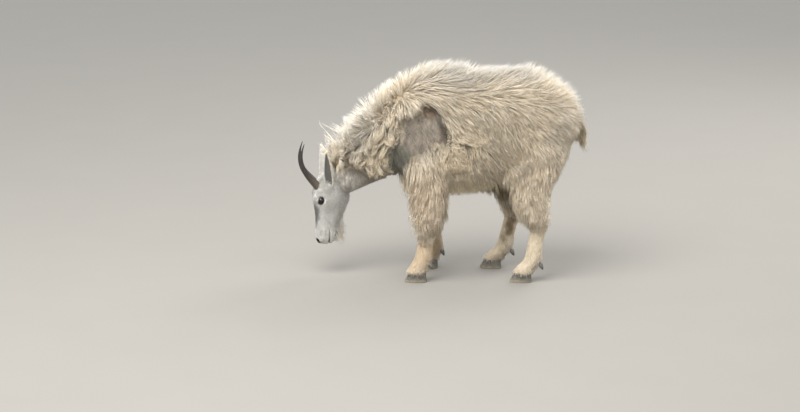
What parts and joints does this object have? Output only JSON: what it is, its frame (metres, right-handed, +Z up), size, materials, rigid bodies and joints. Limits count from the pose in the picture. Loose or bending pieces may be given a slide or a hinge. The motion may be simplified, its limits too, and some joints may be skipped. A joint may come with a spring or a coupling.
{
  "type": "mountain goat model",
  "caption": "Still, life-size museum-style model of a white mountain goat in summer moult, standing with its head lowered to graze.",
  "frame": {"origin": "middle of the bounding box on the floor, under the hooves' soles", "axes": "-X is the way the animal faces, +Y its right side, +Z up"},
  "size_m": [1.3114, 0.4122, 0.9804],
  "materials": {
    "wool": "long cream-white winter wool in the moult",
    "face_fur": "short white summer hair",
    "leg_fur": "short cream hair, stained brown",
    "horn": "smooth dark horn, ringed at the base",
    "hoof": "dusty dark hoof",
    "eye": "dark wet eye"
  },
  "bodies": {
    "root": {"head": "face_fur", "neck": "wool", "torso": "wool", "tail": "wool", "eye_left": "eye", "horn_left": "horn", "ear_left": "face_fur", "eye_right": "eye", "horn_right": "horn", "ear_right": "face_fur", "front_left_upper_leg": "wool", "front_left_lower_leg": "leg_fur", "front_left_claw_inner": "hoof", "front_left_dewclaw_inner": "hoof", "front_left_claw_outer": "hoof", "front_left_dewclaw_outer": "hoof", "front_right_upper_leg": "wool", "front_right_lower_leg": "leg_fur", "front_right_claw_inner": "hoof", "front_right_dewclaw_inner": "hoof", "front_right_claw_outer": "hoof", "front_right_dewclaw_outer": "hoof", "hind_left_upper_leg": "wool", "hind_left_lower_leg": "leg_fur", "hind_left_claw_inner": "hoof", "hind_left_dewclaw_inner": "hoof", "hind_left_claw_outer": "hoof", "hind_left_dewclaw_outer": "hoof", "hind_right_upper_leg": "wool", "hind_right_lower_leg": "leg_fur", "hind_right_claw_inner": "hoof", "hind_right_dewclaw_inner": "hoof", "hind_right_claw_outer": "hoof", "hind_right_dewclaw_outer": "hoof"}
  },
  "joints": []
}
